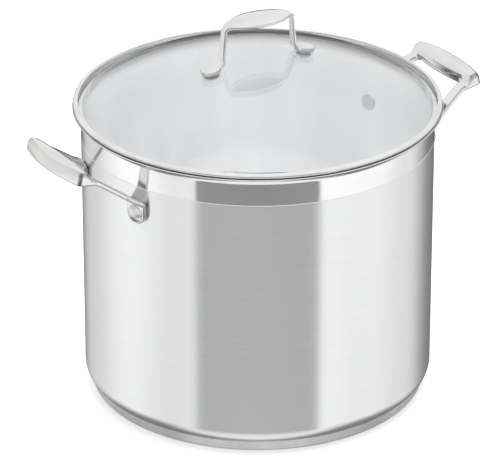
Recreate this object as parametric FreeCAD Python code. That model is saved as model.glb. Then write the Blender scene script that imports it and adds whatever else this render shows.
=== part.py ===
"""Deep pot for water bath canning, with riveted side handles and a domed glass lid.

Frame: millimetres, +Z up, origin at the centre of the base where it meets the hob.
The two side handles and the lid handle lie along the X axis.
"""
import FreeCAD
import Part
import math
import os

V = FreeCAD.Vector
ORIGIN = V(0, 0, 0)
UP = V(0, 0, 1)

# ---- driving dimensions: pot ------------------------------------------------
POT_RADIUS = 130.0          # outside of the wall
WALL = 1.0                  # drawn sheet
CORNER_RADIUS = 12.0        # outside radius between floor and wall
CAP_SHEET = 0.8             # steel under the base
CORE_THICKNESS = 5.0        # aluminium slab in the base
CAP_RADIUS = 124.0          # widest straight part of the base
CAP_EDGE_RADIUS = 3.0       # rounding under the base
SEAM_RADIUS = 126.0         # where the cap's edge meets the pot
SEAM_Z = 9.0
LIP_RADIUS = 6.0            # bend of the pouring lip, on its underside
LIP_START_Z = 215.7         # height where the wall starts to flare

# ---- driving dimensions: lid ------------------------------------------------
GLASS = 3.0
DOME_CROWN_Z = 259.2
DOME_RADIUS = 262.0
DOME_BLEND = 9.0            # hollow blend between the dome and its flat edge
GLASS_EDGE_RADIUS = 134.8
GLASS_EDGE_Z = 226.2        # top of the flat edge
BAND_SHEET = 0.5
BAND_GAP = 0.1              # between the glass edge and the band
BAND_LAP_RADIUS = 131.8     # inner edge of the band on top of the glass
SKIRT_RADIUS = 128.3
SKIRT_BOTTOM_Z = 216.0

# ---- driving dimensions: lid handle -----------------------------------------
PAD_X = 40.0
PAD_RADIUS = 7.8
STRAP = 2.2                 # strap thickness, pads included
GASKET = 0.7
GASKET_RADIUS = 7.4
LOWER_GASKET_RADIUS = 5.8
GLASS_HOLE_RADIUS = 4.0
BOSS_RADIUS = 3.0
SCREW_RADIUS = 1.6
SCREW_HEAD_RADIUS = 3.2
SCREW_HEAD_HEIGHT = 1.5
SCREW_REACH = 4.0           # how far the screw goes up into the boss
SCREW_RECESS_RADIUS = 1.2
SCREW_RECESS_DEPTH = 0.9
WASHER_RADIUS = 5.2
WASHER = 0.6
NECK_WIDTH = 7.6           # strap beside a pad
LEG_WIDTH = 6.2
LEG_FOOT_X = 31.2
LEG_TOP_X = 28.6
BAR_TOP_Z = 292.1
BAR_END_X = 24.5            # where the arched bar meets its end bends
BAR_ARCH = 2.4              # how far the bar's ends lie below its middle
BAR_WIDTH = 28.0
BAR_CROWN = 2.5             # how far the bar's long edges roll down
FOOT_BEND = 5.0             # middle radius between pad and leg
TOP_BEND = 4.5              # middle radius between leg and bar

# ---- driving dimensions: side handles ---------------------------------------
RIVET_ANGLE = 17.0          # degrees each side of the handle's middle
RIVET_Z = 180.5
LUG_RADIUS = 8.0
LUG_THICKNESS = 3.6
ARM_ROOT_X = 128.0          # a place on the arm's top face, near the wall
ARM_ROOT_Z = 192.5
ARM_SLOPE = 35.4            # degrees above level
ARM_THICKNESS = 3.8         # square to the arm
ARM_WIDTH = 10.0
ARM_SPLAY = 6.0             # how much nearer the middle each arm ends
KNEE_X = 156.5              # where the arm's top face levels off
KNEE_RADIUS = 12.0
GRIP_SLOPE = 11.0
GRIP_INNER_X = 162.0        # corners of the finger gap
GRIP_BULGE = 1.7            # how far the gap's far side bows towards the pot
GRIP_OUTER_X = 178.7
GRIP_END_X = 172.0          # outer end corners
GRIP_HALF = 38.7            # half the grip's length
GRIP_BASE = 3.4             # underside below the arm's top face
GRIP_CROWN = 7.5            # crest above the arm's top face
GRIP_CROWN_X = 169.5
GRIP_CROWN_RADIUS = 10.0
GRIP_ARCH_RADIUS = 416.0    # long curve of the crest, seen from outside the pot
GRIP_CORNER = 2.5           # rounding of the outer end corners, seen from above
RIVET_SHANK_RADIUS = 2.5
RIVET_HEAD_RADIUS = 6.8
RIVET_HEAD_HEIGHT = 3.6
RIVET_TAIL_RADIUS = 6.0
RIVET_TAIL_HEIGHT = 1.5

# ---- derived ----------------------------------------------------------------
FLOOR_Z = CAP_SHEET + CORE_THICKNESS        # underside of the drawn pot
POT_INSIDE = POT_RADIUS - WALL
LIP_CENTRE = (POT_RADIUS + LIP_RADIUS, LIP_START_Z)
DOME_CENTRE_Z = DOME_CROWN_Z - DOME_RADIUS


# ---- helpers ----------------------------------------------------------------
def arc(centre, radius, start, end):
    """Arc in the XZ plane, angles in degrees from +X towards +Z."""
    points = []
    for angle in (start, (start + end) / 2, end):
        turn = math.radians(angle)
        points.append(V(centre[0] + radius * math.cos(turn), 0, centre[1] + radius * math.sin(turn)))
    return Part.Arc(*points).toShape()


def outline(*items):
    """Closed wire of arcs and of (x, z) points, joined in order by straight lines."""
    edges = []
    ends = []
    for item in items:
        if isinstance(item, tuple):
            point = V(item[0], 0, item[1])
            ends.append((point, point, None))
        else:
            ends.append((item.firstVertex().Point, item.lastVertex().Point, item))
    for index, (start, finish, edge) in enumerate(ends):
        if edge is not None:
            edges.append(edge)
        following = ends[(index + 1) % len(ends)][0]
        if finish.distanceToPoint(following) > 1e-6:
            edges.append(Part.LineSegment(finish, following).toShape())
    return Part.Wire(edges)


def turned(*items):
    """Solid of revolution about Z from a closed outline."""
    return Part.Face(outline(*items)).revolve(ORIGIN, UP, 360)


def disc(radius, bottom, height):
    return Part.makeCylinder(radius, height, V(0, 0, bottom), UP)


def reversed_arc(edge):
    """The same arc drawn from its other end."""
    middle = edge.valueAt((edge.FirstParameter + edge.LastParameter) / 2)
    return Part.Arc(edge.lastVertex().Point, middle, edge.firstVertex().Point).toShape()


# ---- pot --------------------------------------------------------------------
def pot_envelope(inset):
    """The drawn pot filled solid, moved in from its outside by a wall's thickness."""
    radius = POT_RADIUS - inset
    bottom = FLOOR_Z + inset
    corner = CORNER_RADIUS - inset
    lip = LIP_RADIUS + inset
    top = LIP_START_Z + lip
    return turned(
        (0, bottom),
        arc((radius - corner, bottom + corner), corner, -90, 0),
        arc(LIP_CENTRE, lip, 180, 90),
        (0, top),
    )


def make_pot_shell():
    """Drawn pot with a flared pouring lip."""
    return turned(
        (0, FLOOR_Z),
        arc((POT_RADIUS - CORNER_RADIUS, FLOOR_Z + CORNER_RADIUS), CORNER_RADIUS, -90, 0),
        arc(LIP_CENTRE, LIP_RADIUS, 180, 90),
        arc(LIP_CENTRE, LIP_RADIUS + WALL, 90, 180),
        arc((POT_RADIUS - CORNER_RADIUS, FLOOR_Z + CORNER_RADIUS), CORNER_RADIUS - WALL, 0, -90),
        (0, FLOOR_Z + WALL),
    )


def base_envelope(inset, top):
    edge = CAP_EDGE_RADIUS - inset
    return turned(
        (0, inset),
        arc((CAP_RADIUS - CAP_EDGE_RADIUS, CAP_EDGE_RADIUS), edge, -90, 0),
        *top,
        (0, top[-1][1]),
    )


def make_base():
    """Aluminium slab under the floor and the steel cap that wraps it up to the seam."""
    pot = pot_envelope(0)
    outside = base_envelope(0, [(SEAM_RADIUS, SEAM_Z), (SEAM_RADIUS - 1.5, SEAM_Z + 0.6)])
    inside = base_envelope(CAP_SHEET, [(CAP_RADIUS - CAP_SHEET, SEAM_Z)])
    core = inside.cut(pot)
    cap = outside.cut(pot).cut(inside)
    return core, cap


# ---- side handles -----------------------------------------------------------
def flat_outline(points):
    """Closed outline in the XY plane; a point with three values gives an arc's middle."""
    edges = []
    count = len(points)
    corners = [index for index in range(count) if len(points[index]) == 2]
    for place, index in enumerate(corners):
        following = corners[(place + 1) % len(corners)]
        start = V(points[index][0], points[index][1], 0)
        end = V(points[following][0], points[following][1], 0)
        between = points[(index + 1) % count]
        if len(between) == 3:
            edges.append(Part.Arc(start, V(between[0], between[1], 0), end).toShape())
        else:
            edges.append(Part.LineSegment(start, end).toShape())
    return Part.Wire(edges)


def prism(points, bottom, height):
    face = Part.Face(flat_outline(points))
    face.translate(V(0, 0, bottom))
    return face.extrude(V(0, 0, height))


def rising(x, z, slope):
    """Carries a shape from its own origin to a place, with its X axis sloping upwards."""
    def place(shape):
        shape.rotate(ORIGIN, V(0, 1, 0), -slope)
        shape.translate(V(x, 0, z))
        return shape
    return place


def knee_height():
    return ARM_ROOT_Z + (KNEE_X - ARM_ROOT_X) * math.tan(math.radians(ARM_SLOPE))


def make_grip():
    """Pillow-shaped grip: a leaf in plan, its crest a barrel that falls towards both ends."""
    stretch = math.cos(math.radians(GRIP_SLOPE))

    def along(x):
        return (x - KNEE_X) / stretch

    inner, end, half = along(GRIP_INNER_X), along(GRIP_END_X), GRIP_HALF
    plan = [
        (inner, -half),
        (end, -half),
        (along(GRIP_OUTER_X), 0, "bow"),
        (end, half),
        (inner, half),
        (along(GRIP_INNER_X - GRIP_BULGE), 0, "bow"),
    ]
    block = prism(plan, -GRIP_BASE, GRIP_BASE + GRIP_CROWN + 1)
    corners = [edge for edge in block.Edges if abs(edge.BoundBox.ZLength - edge.Length) < 1e-6]
    block = block.makeFillet(GRIP_CORNER, [edge for edge in corners if edge.BoundBox.XMin > inner + 1])
    arch_drop = GRIP_ARCH_RADIUS - GRIP_CROWN
    crest = V(along(GRIP_CROWN_X), 0, GRIP_CROWN - GRIP_CROWN_RADIUS)
    circle = Part.Wire([Part.Circle(crest, V(0, 1, 0), GRIP_CROWN_RADIUS).toShape()])
    barrel = Part.Face(circle).revolve(V(0, 0, -arch_drop), V(1, 0, 0), 15)
    barrel = barrel.fuse(Part.Face(circle).revolve(V(0, 0, -arch_drop), V(1, 0, 0), -15)).removeSplitter()
    grip = block.common(barrel)
    return rising(KNEE_X, knee_height(), GRIP_SLOPE)(grip)


def arm_side_profile():
    """Side view of both arms: up the slope, round the knee and into the grip."""
    up, level = math.radians(ARM_SLOPE), math.radians(GRIP_SLOPE)
    cut = KNEE_RADIUS * math.tan((up - level) / 2)
    knee = V(KNEE_X, 0, knee_height())
    rise = V(math.cos(up), 0, math.sin(up))
    reach = V(math.cos(level), 0, math.sin(level))
    centre = knee - rise * cut + V(math.sin(up), 0, -math.cos(up)) * KNEE_RADIUS
    low_radius = KNEE_RADIUS - ARM_THICKNESS
    start, finish = 90 + ARM_SLOPE, 90 + GRIP_SLOPE
    under_arm = V(math.sin(up), 0, -math.cos(up)) * ARM_THICKNESS
    under_grip = V(math.sin(level), 0, -math.cos(level)) * GRIP_BASE
    low_start = knee - rise * 60
    tip = knee + reach * (GRIP_INNER_X - KNEE_X + 4)
    return outline(
        (low_start.x, low_start.z),
        arc((centre.x, centre.z), KNEE_RADIUS, start, finish),
        (tip.x, tip.z),
        ((tip + under_grip).x, (tip + under_grip).z),
        arc((centre.x, centre.z), low_radius, finish, start),
        ((low_start + under_arm).x, (low_start + under_arm).z),
    )


def make_arms():
    """Two flat arms from the wall to the grip, wider at the root where they meet the lugs."""
    strip = Part.Face(arm_side_profile())
    strip.translate(V(0, -60, 0))
    strip = strip.extrude(V(0, 120, 0))
    root = POT_RADIUS * math.sin(math.radians(RIVET_ANGLE))
    tip = root - ARM_SPLAY
    half = ARM_WIDTH / 2
    wide = LUG_RADIUS - 0.4
    arms = []
    for side in (-1, 1):
        plan = prism([
            (110, side * (root - wide)),
            (ARM_ROOT_X + 1, side * (root - wide)),
            (ARM_ROOT_X + 9, side * (root - half - 0.6)),
            (GRIP_INNER_X + 3, side * (tip - half)),
            (GRIP_INNER_X + 3, side * (tip + half)),
            (ARM_ROOT_X + 9, side * (root + half - 0.6)),
            (ARM_ROOT_X + 1, side * (root + wide)),
            (110, side * (root + wide)),
        ], 150, 100)
        bends = [edge for edge in plan.Edges if abs(edge.BoundBox.ZLength - 100) < 0.01]
        plan = plan.makeFillet(7.0, [edge for edge in bends if 115 < edge.BoundBox.XMin < 145])
        arms.append(strip.common(plan))
    return arms


def make_lug(side):
    """Rounded tab on the wall under an arm, with a hole for its rivet."""
    reach = POT_RADIUS + 20
    tab = Part.makeCylinder(LUG_RADIUS, reach, V(0, 0, RIVET_Z), V(1, 0, 0))
    tab = tab.fuse(Part.makeBox(reach, 2 * LUG_RADIUS, ARM_ROOT_Z - RIVET_Z, V(0, -LUG_RADIUS, RIVET_Z)))
    shell = disc(POT_RADIUS + LUG_THICKNESS, RIVET_Z - 2 * LUG_RADIUS, 4 * LUG_RADIUS)
    tab = tab.common(shell)
    tab.rotate(ORIGIN, UP, side * RIVET_ANGLE)
    return tab


def rivet_placed(shape, side):
    """A shape built along +X at the rivet's height, turned to its place on the wall."""
    shape.translate(V(0, 0, RIVET_Z))
    shape.rotate(ORIGIN, UP, side * RIVET_ANGLE)
    return shape


def make_rivet_blank(side):
    """Domed head outside, flattened tail inside, shank between."""
    seat = POT_RADIUS + LUG_THICKNESS
    dome_radius = (RIVET_HEAD_RADIUS ** 2 + RIVET_HEAD_HEIGHT ** 2) / (2 * RIVET_HEAD_HEIGHT)
    head = Part.makeSphere(dome_radius, V(seat + RIVET_HEAD_HEIGHT - dome_radius, 0, 0))
    head = head.common(Part.makeBox(20, 40, 40, V(seat - 0.5, -20, -20)))
    tail_start = POT_INSIDE - RIVET_TAIL_HEIGHT
    tail = Part.makeCylinder(RIVET_TAIL_RADIUS, RIVET_TAIL_HEIGHT + 0.3, V(tail_start, 0, 0), V(1, 0, 0))
    shank = Part.makeCylinder(RIVET_SHANK_RADIUS, seat - tail_start, V(tail_start, 0, 0), V(1, 0, 0))
    return rivet_placed(head.fuse([tail, shank]), side)


def rivet_hole(side):
    hole = Part.makeCylinder(RIVET_SHANK_RADIUS, 40, V(POT_INSIDE - 20, 0, 0), V(1, 0, 0))
    return rivet_placed(hole, side)


def make_side_handle():
    """The handle on the +X side: two arms, the grip and two lugs in one casting."""
    handle = make_grip().fuse(make_arms() + [make_lug(-1), make_lug(1)])
    handle = handle.cut(disc(POT_RADIUS, 0, 400))
    for side in (-1, 1):
        handle = handle.cut(rivet_hole(side))
    return handle.removeSplitter()


# ---- lid --------------------------------------------------------------------
def dome_line(thickness):
    """Dome and the hollow blend to its flat edge, moved in from the top by a thickness."""
    blend_z = GLASS_EDGE_Z + DOME_BLEND
    blend_x = math.sqrt((DOME_RADIUS + DOME_BLEND) ** 2 - (blend_z - DOME_CENTRE_Z) ** 2)
    meeting = math.degrees(math.atan2(blend_z - DOME_CENTRE_Z, blend_x))
    dome = arc((0, DOME_CENTRE_Z), DOME_RADIUS - thickness, 90, meeting)
    blend = arc((blend_x, blend_z), DOME_BLEND + thickness, 180 + meeting, 270)
    return dome, blend


def lid_station(shape, side):
    """Moves a shape built on the dome's crown, Z up, to a pad's place square to the glass."""
    lean = math.degrees(math.asin(PAD_X / DOME_RADIUS))
    shape.translate(V(0, 0, DOME_RADIUS))
    shape.rotate(ORIGIN, V(0, 1, 0), side * lean)
    shape.translate(V(0, 0, DOME_CENTRE_Z))
    return shape


def make_lid_glass():
    top_dome, top_blend = dome_line(0)
    low_dome, low_blend = dome_line(GLASS)
    edge_centre = (GLASS_EDGE_RADIUS - GLASS / 2, GLASS_EDGE_Z - GLASS / 2)
    glass = turned(
        top_dome,
        top_blend,
        arc(edge_centre, GLASS / 2, 90, -90),
        reversed_arc(low_blend),
        reversed_arc(low_dome),
    )
    for side in (-1, 1):
        glass = glass.cut(lid_station(disc(GLASS_HOLE_RADIUS, -10, 20), side))
    return glass


def make_lid_band():
    """Steel band rolled round the glass edge, with a skirt that centres the lid in the pot."""
    centre = (GLASS_EDGE_RADIUS - GLASS / 2, GLASS_EDGE_Z - GLASS / 2)
    inner = GLASS / 2 + BAND_GAP
    outer = inner + BAND_SHEET
    return turned(
        (BAND_LAP_RADIUS, centre[1] + inner),
        (BAND_LAP_RADIUS, centre[1] + outer),
        arc(centre, outer, 90, -90),
        (SKIRT_RADIUS, centre[1] - outer),
        (SKIRT_RADIUS, SKIRT_BOTTOM_Z),
        (SKIRT_RADIUS - BAND_SHEET, SKIRT_BOTTOM_Z),
        (SKIRT_RADIUS - BAND_SHEET, centre[1] - inner),
        arc(centre, inner, -90, 90),
    )


def strap_corners():
    """Middle line of the left half of the strap: its corners, and the headings between them."""
    lean = math.asin(PAD_X / DOME_RADIUS)
    pad_reach = DOME_RADIUS + GASKET + STRAP / 2
    pad = V(-pad_reach * math.sin(lean), 0, DOME_CENTRE_Z + pad_reach * math.cos(lean))
    foot = V(-LEG_FOOT_X, 0, pad.z + (-LEG_FOOT_X - pad.x) * math.tan(lean))
    bar_radius = (BAR_END_X ** 2 + BAR_ARCH ** 2) / (2 * BAR_ARCH)
    bar_heading = math.asin(BAR_END_X / bar_radius)
    bar_end = V(-BAR_END_X, 0, BAR_TOP_Z - STRAP / 2 - BAR_ARCH)
    top = bar_end - V(1, 0, math.tan(bar_heading)) * (LEG_TOP_X - BAR_END_X)
    leg_heading = math.atan2(top.z - foot.z, top.x - foot.x)
    return pad, foot, top, bar_end, lean, leg_heading, bar_heading


def flat_section(place, heading, width):
    """Rectangle across the strap at a place, square to a heading in radians."""
    outward = V(-math.sin(heading), 0, math.cos(heading)) * (STRAP / 2)
    side = V(0, width / 2, 0)
    ring = [place + outward - side, place + outward + side, place - outward + side, place - outward - side]
    return Part.Face(Part.makePolygon(ring + ring[:1]))


def run_between(start, end, heading, width):
    return flat_section(start, heading, width).extrude(end - start)


def bend_at(corner, radius, before, after, width):
    """Tangent bend of the strap; returns it with the places where it starts and ends."""
    way = math.copysign(1, after - before)
    cut = radius * math.tan(abs(after - before) / 2)
    start = corner - V(math.cos(before), 0, math.sin(before)) * cut
    end = corner + V(math.cos(after), 0, math.sin(after)) * cut
    centre = start + V(-math.sin(before), 0, math.cos(before)) * (radius * way)
    turn = math.degrees(after - before)
    bend = flat_section(start, before, width).revolve(centre, V(0, -1, 0), turn)
    return bend, start, end


def crowned_section(x):
    """Cross-section of the bar: faces bow over the width, which swells towards the middle."""
    bar_radius = (BAR_END_X ** 2 + BAR_ARCH ** 2) / (2 * BAR_ARCH)
    share = 1 - (x / BAR_END_X) ** 2
    width = LEG_WIDTH + (BAR_WIDTH - LEG_WIDTH) * share
    crown = 0.02 + BAR_CROWN * share ** 1.5
    turn = -math.asin(x / bar_radius)
    outward = V(-math.sin(turn), 0, math.cos(turn))
    centre = V(x, 0, BAR_TOP_Z - STRAP / 2 - bar_radius * (1 - math.cos(turn)))
    side = V(0, width / 2, 0)
    top = centre + outward * (STRAP / 2)
    bottom = centre - outward * (STRAP / 2)
    drop = outward * -crown
    return Part.Wire([
        Part.Arc(top + drop - side, top, top + drop + side).toShape(),
        Part.LineSegment(top + drop + side, bottom + drop + side).toShape(),
        Part.Arc(bottom + drop + side, bottom, bottom + drop - side).toShape(),
        Part.LineSegment(bottom + drop - side, top + drop - side).toShape(),
    ])


def make_pad():
    """Round foot of the lid handle on the crown, with the boss that passes the glass."""
    pad = disc(PAD_RADIUS, GASKET, STRAP)
    boss_bottom = -GLASS - 0.3
    boss = disc(BOSS_RADIUS, boss_bottom, GASKET - boss_bottom + 0.5)
    return pad.fuse(boss).cut(disc(SCREW_RADIUS, boss_bottom, SCREW_REACH))


def make_lid_handle():
    """One strap: pads, legs with two bends each, and the leaf-shaped bar between them."""
    pad, foot, top, bar_end, lean, leg, bar = strap_corners()
    foot_bend, foot_start, foot_end = bend_at(foot, FOOT_BEND, lean, leg, LEG_WIDTH)
    top_bend, top_start, top_end = bend_at(top, TOP_BEND, leg, bar, LEG_WIDTH)
    half = [
        run_between(pad, foot_start, lean, NECK_WIDTH),
        foot_bend,
        run_between(foot_end, top_start, leg, LEG_WIDTH),
        top_bend,
        run_between(top_end, bar_end, bar, LEG_WIDTH),
    ]
    mirrored = [opposite(piece) for piece in half]
    steps = 8
    stations = [BAR_END_X * (2 * step / steps - 1) for step in range(steps + 1)]
    leaf = Part.makeLoft([crowned_section(x) for x in stations], True, False)
    pads = [lid_station(make_pad(), side) for side in (-1, 1)]
    return leaf.fuse(half + mirrored + pads).removeSplitter()


def seated(shape, glass, side):
    """A gasket blank at its station, trimmed to the glass that it is pressed against."""
    return lid_station(shape, side).cut(glass)


def make_lid_fastening(side, glass):
    """Gaskets above and below the glass, a washer and the screw that holds them."""
    below = -GLASS - GASKET
    washer_bottom = below - WASHER
    head_bottom = washer_bottom - SCREW_HEAD_HEIGHT
    bore = disc(BOSS_RADIUS, -10, 20)
    upper = disc(GASKET_RADIUS, -0.4, GASKET + 0.4).cut(bore)
    lower = disc(LOWER_GASKET_RADIUS, below, GASKET + 0.4).cut(bore)
    washer = disc(WASHER_RADIUS, washer_bottom, WASHER).cut(disc(SCREW_RADIUS, -10, 20))
    head = disc(SCREW_HEAD_RADIUS, head_bottom, SCREW_HEAD_HEIGHT)
    head = head.makeChamfer(0.5, [edge for edge in head.Edges if edge.BoundBox.ZMax < head_bottom + 0.01])
    recess = disc(SCREW_RECESS_RADIUS, head_bottom, SCREW_RECESS_DEPTH)
    shank_top = -GLASS - 0.3 + SCREW_REACH - 0.3
    shank = disc(SCREW_RADIUS, washer_bottom, shank_top - washer_bottom)
    return {
        "lid_gasket_upper": seated(upper, glass, side),
        "lid_gasket_lower": seated(lower, glass, side),
        "lid_washer": lid_station(washer, side),
        "lid_screw": lid_station(head.cut(recess).fuse(shank), side),
    }


# ---- assembly ---------------------------------------------------------------
def opposite(shape):
    """The same piece on the -X side."""
    copy = shape.copy()
    copy.rotate(ORIGIN, UP, 180)
    return copy


def make_all():
    parts = {}
    handle = make_side_handle()
    shell = make_pot_shell()
    rivets = {"front": make_rivet_blank(-1), "rear": make_rivet_blank(1)}
    for end in ("front", "rear"):
        rivet = rivets[end]
        for angle in (-1, 1):
            shell = shell.cut(rivet_hole(angle)).cut(opposite(rivet_hole(angle)))
        rivets[end] = rivet.cut(handle)
    parts["side_handle_right"] = handle
    parts["side_handle_left"] = opposite(handle)
    for end, across in (("front", "rear"), ("rear", "front")):
        parts["rivet_right_" + end] = rivets[end].cut(shell)
        parts["rivet_left_" + end] = opposite(rivets[across]).cut(shell)
    parts["pot_shell"] = shell
    parts["base_core"], parts["base_cap"] = make_base()
    glass = make_lid_glass()
    parts["lid_glass"] = glass
    parts["lid_band"] = make_lid_band()
    parts["lid_handle"] = make_lid_handle()
    for side, name in ((-1, "left"), (1, "right")):
        for piece, shape in make_lid_fastening(side, glass).items():
            parts[piece + "_" + name] = shape
    return parts


os.makedirs("parts", exist_ok=True)
for node, shape in make_all().items():
    shape.exportStep("parts/" + node + ".step")
    print(node, "solids", len(shape.Solids), "valid", shape.isValid(), "volume", round(shape.Volume))
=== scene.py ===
import math
import bmesh
import bpy
import numpy as np
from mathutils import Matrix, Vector


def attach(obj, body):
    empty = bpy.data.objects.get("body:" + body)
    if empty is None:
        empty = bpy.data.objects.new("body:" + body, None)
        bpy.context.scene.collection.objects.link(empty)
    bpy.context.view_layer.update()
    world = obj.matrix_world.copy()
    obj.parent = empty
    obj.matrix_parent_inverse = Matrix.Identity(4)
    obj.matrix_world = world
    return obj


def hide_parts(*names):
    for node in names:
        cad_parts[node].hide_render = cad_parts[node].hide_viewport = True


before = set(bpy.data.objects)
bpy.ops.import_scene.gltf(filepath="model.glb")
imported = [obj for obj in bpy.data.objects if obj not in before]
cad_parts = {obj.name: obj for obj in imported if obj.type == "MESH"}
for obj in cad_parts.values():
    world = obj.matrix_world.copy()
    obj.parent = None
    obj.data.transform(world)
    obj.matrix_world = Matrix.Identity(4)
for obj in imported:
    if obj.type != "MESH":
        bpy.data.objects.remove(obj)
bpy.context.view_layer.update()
scene = bpy.context.scene
print("frame loaded:", len(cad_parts), "nodes")

mm = 0.001


# outlines: flat arrays of points

def arcPoints(centre, radius, start, end, steps):
    # points on a circle from one angle to the other, in degrees
    turn = np.radians(np.linspace(start, end, steps + 1))
    return np.stack([centre[0] + radius * np.cos(turn), centre[1] + radius * np.sin(turn)], 1)


def joined(*runs):
    # runs of points in one row, without the point that a run shares with the next
    points = np.concatenate([np.atleast_2d(np.asarray(run, float)) for run in runs])
    gap = np.linalg.norm(np.diff(points, axis=0), axis=1)
    return points[np.concatenate([[True], gap > 1e-7])]


def roundedOutline(corners, closed=False, steps=6, support=0.4 * mm):
    # straight runs between corners (x, y, radius), each corner swapped for its tangent arc;
    # one support point beside each arc keeps the shading of the straight run flat
    count = len(corners)
    place = np.array([corner[:2] for corner in corners], float)
    runs = []
    for index, corner in enumerate(corners):
        radius = corner[2] if len(corner) > 2 else 0
        if radius == 0 or (not closed and index in (0, count - 1)):
            runs.append([place[index]])
            continue
        toBefore = place[index - 1] - place[index]
        toAfter = place[(index + 1) % count] - place[index]
        reach = min(np.linalg.norm(toBefore), np.linalg.norm(toAfter))
        toBefore = toBefore / np.linalg.norm(toBefore)
        toAfter = toAfter / np.linalg.norm(toAfter)
        between = math.acos(np.clip(toBefore @ toAfter, -1, 1))
        cut = radius / math.tan(between / 2)
        inward = (toBefore + toAfter) / np.linalg.norm(toBefore + toAfter)
        centre = place[index] + inward * radius / math.sin(between / 2)
        first = place[index] + toBefore * cut - centre
        last = place[index] + toAfter * cut - centre
        start = math.degrees(math.atan2(first[1], first[0]))
        sweep = math.degrees(math.atan2(first[0] * last[1] - first[1] * last[0], first @ last))
        bend = arcPoints(centre, radius, start, start + sweep, steps)
        spare = min(support, max(0, (reach - cut) * 0.3))
        runs.append([place[index] + toBefore * (cut + spare)])
        runs.append(bend)
        runs.append([place[index] + toAfter * (cut + spare)])
    return joined(*runs)


def evenly(points, count):
    # the same line with a chosen number of points, evenly spaced along it
    gap = np.linalg.norm(np.diff(points, axis=0), axis=1)
    along = np.concatenate([[0], np.cumsum(gap)])
    wanted = np.linspace(0, along[-1], count)
    return np.stack([np.interp(wanted, along, points[:, axis]) for axis in range(points.shape[1])], 1)


def smoothStep(value, low, high):
    share = np.clip((value - low) / (high - low), 0, 1)
    return share * share * (3 - 2 * share)


# meshes from grids of points

def gridFaces(rows, columns, closeRows):
    # four-sided faces between neighbouring points of a grid whose rows are closed loops
    row = np.arange(rows if closeRows else rows - 1)
    row, column = np.meshgrid(row, np.arange(columns), indexing="ij")
    nextRow = (row + 1) % rows
    nextColumn = (column + 1) % columns
    corners = [row * columns + column, nextRow * columns + column,
               nextRow * columns + nextColumn, row * columns + nextColumn]
    return np.stack([corner.ravel() for corner in corners], 1)


def faceVolume(points, faces):
    # signed volume of a closed surface, positive when its faces point outwards
    a, b, c, d = (points[faces[:, index]] for index in range(4))
    return float(np.sum(np.cross(b - a, c - a) * a) + np.sum(np.cross(c - a, d - a) * a))


def surface(name, points, closeRows=False, sharp=40, rowMaterial=None):
    # points is rows x columns x 3; end rows of no length close the shape
    rows, columns = points.shape[:2]
    flat = points.reshape(-1, 3)
    faces = gridFaces(rows, columns, closeRows)
    if faceVolume(flat, faces) < 0:
        faces = faces[:, ::-1]
    mesh = bpy.data.meshes.new(name)
    mesh.from_pydata(flat.tolist(), [], faces.tolist())
    if rowMaterial is not None:
        rowOfFace = np.repeat(rowMaterial, columns)
        mesh.polygons.foreach_set("material_index", rowOfFace.astype(np.int32))
    mesh.validate()
    piece = bpy.data.objects.new(name, mesh)
    scene.collection.objects.link(piece)
    mergeDoubles(mesh)
    mesh.shade_smooth()
    mesh.set_sharp_from_angle(angle=math.radians(sharp))
    return piece


def mergeDoubles(mesh):
    work = bmesh.new()
    work.from_mesh(mesh)
    bmesh.ops.remove_doubles(work, verts=work.verts, dist=1e-7)
    bmesh.ops.dissolve_degenerate(work, edges=work.edges, dist=1e-8)
    work.to_mesh(mesh)
    work.free()


def latheGrid(profile, around):
    # radius and height turned about Z: x = r cos a, y = r sin a, z = h
    angle = np.linspace(0, 2 * math.pi, around, endpoint=False)
    radius, height = profile[:, :1], profile[:, 1:]
    return np.stack([radius * np.cos(angle), radius * np.sin(angle), height + 0 * angle], 2)


def lathe(name, profile, around=192, closed=False, place=None, **extra):
    grid = latheGrid(profile, around)
    if place is not None:
        grid = place(grid)
    return surface(name, grid, closeRows=closed, **extra)


print("helpers ready")


# shader maths

class Wire:
    # one socket of a material; arithmetic on wires adds Math nodes
    def __init__(self, tree, socket):
        self.tree = tree
        self.socket = socket

    def maths(self, operation, *others):
        node = self.tree.nodes.new("ShaderNodeMath")
        node.operation = operation
        for index, value in enumerate((self,) + others):
            setInput(self.tree, node.inputs[index], value)
        return Wire(self.tree, node.outputs[0])

    def flipped(self, operation, other):
        node = self.tree.nodes.new("ShaderNodeMath")
        node.operation = operation
        setInput(self.tree, node.inputs[0], other)
        setInput(self.tree, node.inputs[1], self)
        return Wire(self.tree, node.outputs[0])

    def __add__(self, other):
        return self.maths("ADD", other)

    def __radd__(self, other):
        return self.flipped("ADD", other)

    def __sub__(self, other):
        return self.maths("SUBTRACT", other)

    def __rsub__(self, other):
        return self.flipped("SUBTRACT", other)

    def __mul__(self, other):
        return self.maths("MULTIPLY", other)

    def __rmul__(self, other):
        return self.flipped("MULTIPLY", other)

    def __truediv__(self, other):
        return self.maths("DIVIDE", other)

    def between(self, low, high):
        # 0 below low, 1 above high, smooth in between
        node = self.tree.nodes.new("ShaderNodeMapRange")
        node.interpolation_type = "SMOOTHSTEP"
        for socket, value in zip(node.inputs, (self, low, high)):
            setInput(self.tree, socket, value)
        return Wire(self.tree, node.outputs[0])


def setInput(tree, socket, value):
    if isinstance(value, Wire):
        tree.links.new(value.socket, socket)
    elif value is not None:
        socket.default_value = value


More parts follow.
